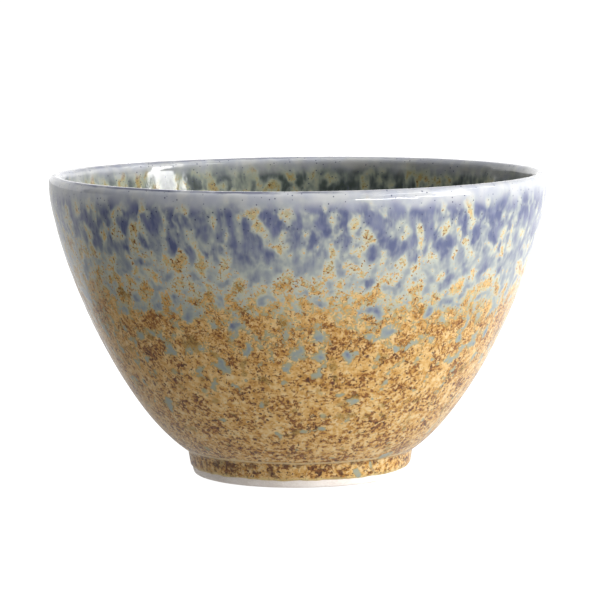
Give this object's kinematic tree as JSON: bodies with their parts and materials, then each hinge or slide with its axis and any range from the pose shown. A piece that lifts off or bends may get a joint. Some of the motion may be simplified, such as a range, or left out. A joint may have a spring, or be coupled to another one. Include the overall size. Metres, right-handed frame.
{
  "type": "matcha bowl",
  "caption": "Deep round tea bowl on a low foot ring, with flared rounded walls, a soft lip and a mottled blue and amber reactive glaze.",
  "frame": {"origin": "centre of the foot ring, on the surface that the bowl stands on", "axes": "+Z is the bowl's axis, from the foot up to the mouth; the bowl is round, so +X and +Y are alike"},
  "size_m": [0.12, 0.12, 0.073],
  "materials": {
    "body_clay": "matte",
    "foot_clay": "matte",
    "slip": "matte",
    "inner_glaze": "gloss",
    "amber_glaze": "gloss",
    "blue_glaze": "gloss",
    "foot_glaze": "gloss",
    "well_glaze": "gloss"
  },
  "bodies": {
    "root": {"bowl_body": "body_clay", "foot_ring": "foot_clay", "luting_slip": "slip", "inner_glaze": "inner_glaze", "outer_glaze": "amber_glaze", "rim_glaze": "blue_glaze", "foot_glaze": "foot_glaze", "well_glaze": "well_glaze"}
  },
  "joints": []
}
